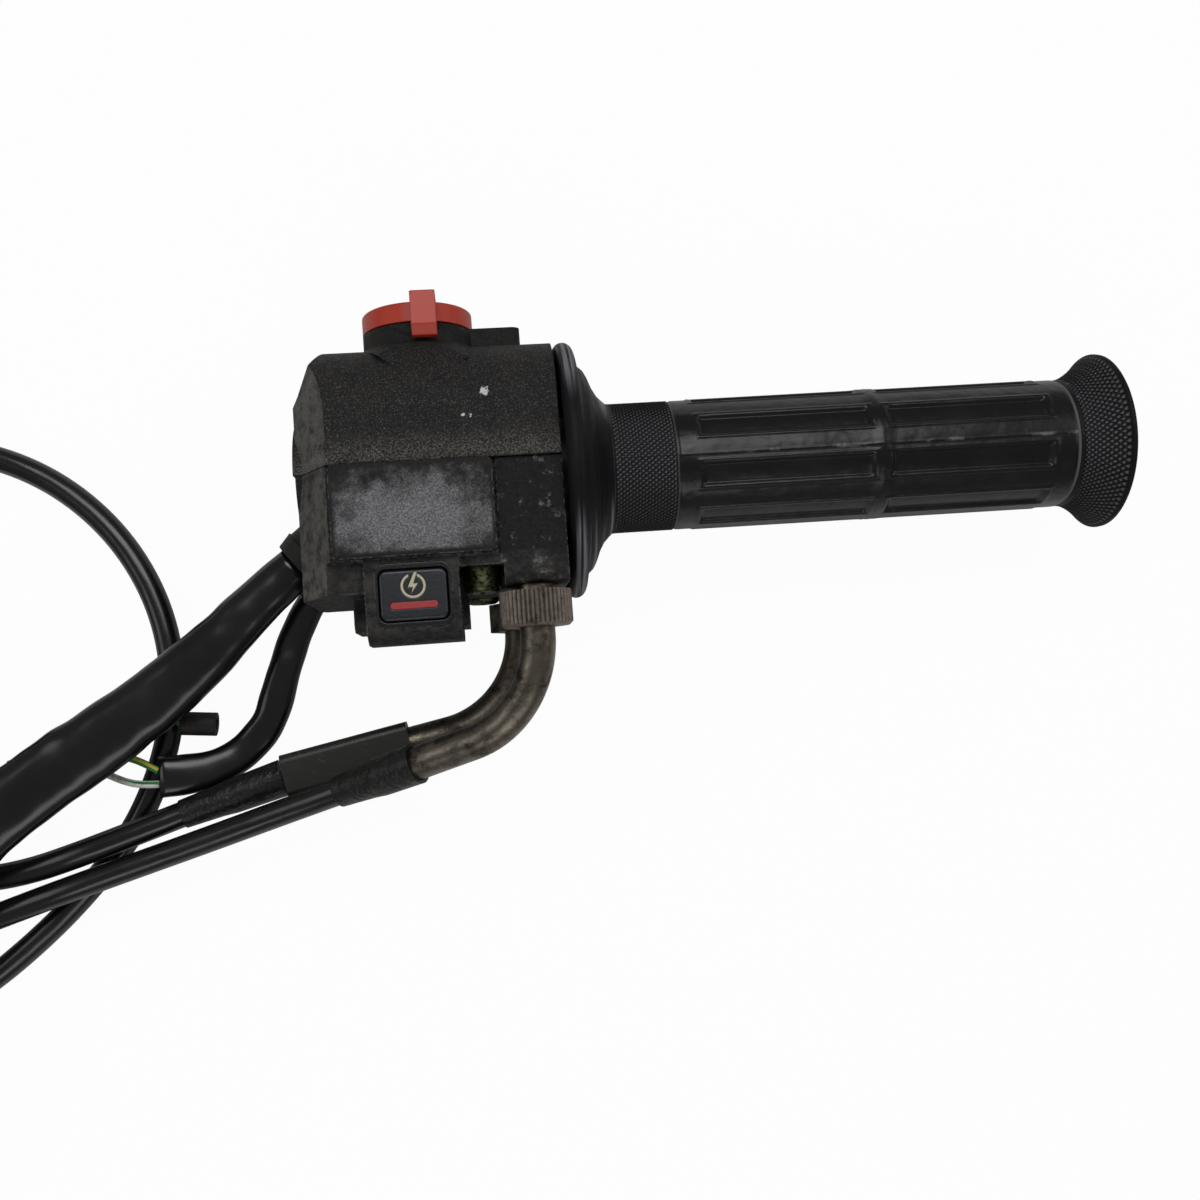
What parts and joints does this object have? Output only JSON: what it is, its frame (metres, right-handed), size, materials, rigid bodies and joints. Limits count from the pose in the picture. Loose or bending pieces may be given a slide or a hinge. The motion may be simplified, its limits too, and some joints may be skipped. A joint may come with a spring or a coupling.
{
  "type": "motorcycle throttle grip",
  "caption": "Right-hand motorcycle throttle grip with a split switch housing, twist grip, elbows and cables, stop switch, start button and wiring.",
  "frame": {"origin": "on the handlebar's axis, at the middle of the housing's clamping ribs", "axes": "+X along the handlebar to the grip's outer end, +Y up on the motorcycle towards the stop switch, +Z towards the rider, on the start button's side"},
  "size_m": [0.3854, 0.2045, 0.061],
  "materials": {
    "case_paint": "matte",
    "zinc_plate": "satin",
    "elbow_plate": "satin",
    "cable_wire": "satin",
    "tube_plastic": "satin",
    "grip_rubber": "satin",
    "boot_rubber": "matte",
    "cable_vinyl": "gloss",
    "white_green_wire": "satin",
    "green_yellow_wire": "satin",
    "connector_plastic": "satin",
    "contact_brass": "satin",
    "kill_red": "satin",
    "switch_insulator": "satin",
    "start_cap": "satin",
    "start_surround": "gloss",
    "start_red": "satin",
    "start_cream": "satin",
    "spring_steel": "satin"
  },
  "bodies": {
    "housing": {"case_upper": "case_paint", "case_lower": "case_paint", "case_screws": "zinc_plate", "case_screw_washers": "zinc_plate", "start_base_screws": "zinc_plate", "return_elbow": "elbow_plate", "pull_elbow": "elbow_plate", "return_elbow_nut": "elbow_plate", "pull_elbow_nut": "elbow_plate", "pull_adjuster": "elbow_plate", "pull_adjuster_locknut": "elbow_plate", "return_end_ferrule": "elbow_plate", "pull_end_ferrule": "elbow_plate", "return_inner_wire": "cable_wire", "pull_inner_wire": "cable_wire", "return_boot": "boot_rubber", "pull_boot": "boot_rubber", "pull_adjuster_cover": "boot_rubber", "harness_grommet": "boot_rubber", "brake_lead_grommet": "boot_rubber", "brake_lead_bullet_sleeve": "boot_rubber", "return_cable": "cable_vinyl", "pull_cable_run": "cable_vinyl", "pull_cable_tail": "cable_vinyl", "pull_cable_coil": "cable_vinyl", "harness_run": "cable_vinyl", "brake_lead_run": "cable_vinyl", "brake_lead_white_wire": "white_green_wire", "brake_lead_green_wire": "green_yellow_wire", "harness_connector": "connector_plastic", "harness_connector_terminals": "contact_brass", "brake_lead_bullet_plug": "contact_brass", "kill_terminals": "contact_brass", "start_fixed_contacts": "contact_brass", "kill_base": "switch_insulator", "start_base": "switch_insulator", "start_bezel": "start_surround", "kill_detent_ball": "spring_steel", "kill_detent_spring": "spring_steel", "start_spring": "spring_steel"},
    "throttle": {"throttle_tube": "tube_plastic", "throttle_drum": "tube_plastic", "grip_flange": "grip_rubber", "grip_body": "grip_rubber", "grip_flare": "grip_rubber", "return_nipple": "cable_wire", "pull_nipple": "cable_wire"},
    "kill_switch": {"kill_knob": "kill_red", "kill_rotor": "switch_insulator", "kill_rotor_screw": "zinc_plate", "kill_contact": "contact_brass"},
    "start_button": {"start_button": "start_cap", "start_bar": "start_red", "start_symbol": "start_cream", "start_bridge_contacts": "contact_brass"},
    "pull_wire": {"pull_wire_end": "cable_wire"},
    "return_wire": {"return_wire_end": "cable_wire"}
  },
  "joints": [
    {"name": "throttle_twist", "type": "hinge", "parent": "housing", "child": "throttle", "pos_m": [0, 0, 0], "axis": [1, 0, 0], "range_deg": [0, 75], "deforming": ["return_inner_wire", "pull_inner_wire"]},
    {"name": "kill_turn", "type": "hinge", "parent": "housing", "child": "kill_switch", "pos_m": [0.0095, 0.034, 0.003], "axis": [0, 1, 0], "range_deg": [-30, 30]},
    {"name": "start_press", "type": "slide", "parent": "housing", "child": "start_button", "axis": [0, 0, -1], "range_m": [0, 0.0025], "stiffness_N_per_m": 600, "springref_m": -0.001, "deforming": ["start_spring"]},
    {"name": "pull_wire_slide", "type": "slide", "parent": "housing", "child": "pull_wire", "axis": [0, -1, 0], "range_m": [0, 0.0225]},
    {"name": "return_wire_slide", "type": "slide", "parent": "housing", "child": "return_wire", "axis": [-1, 0, 0], "range_m": [0, 0.0225]}
  ],
  "couplings": [
    {"joint": "pull_wire_slide", "follows": "throttle_twist", "m_per_rad": 0.017},
    {"joint": "return_wire_slide", "follows": "throttle_twist", "m_per_rad": 0.017}
  ]
}
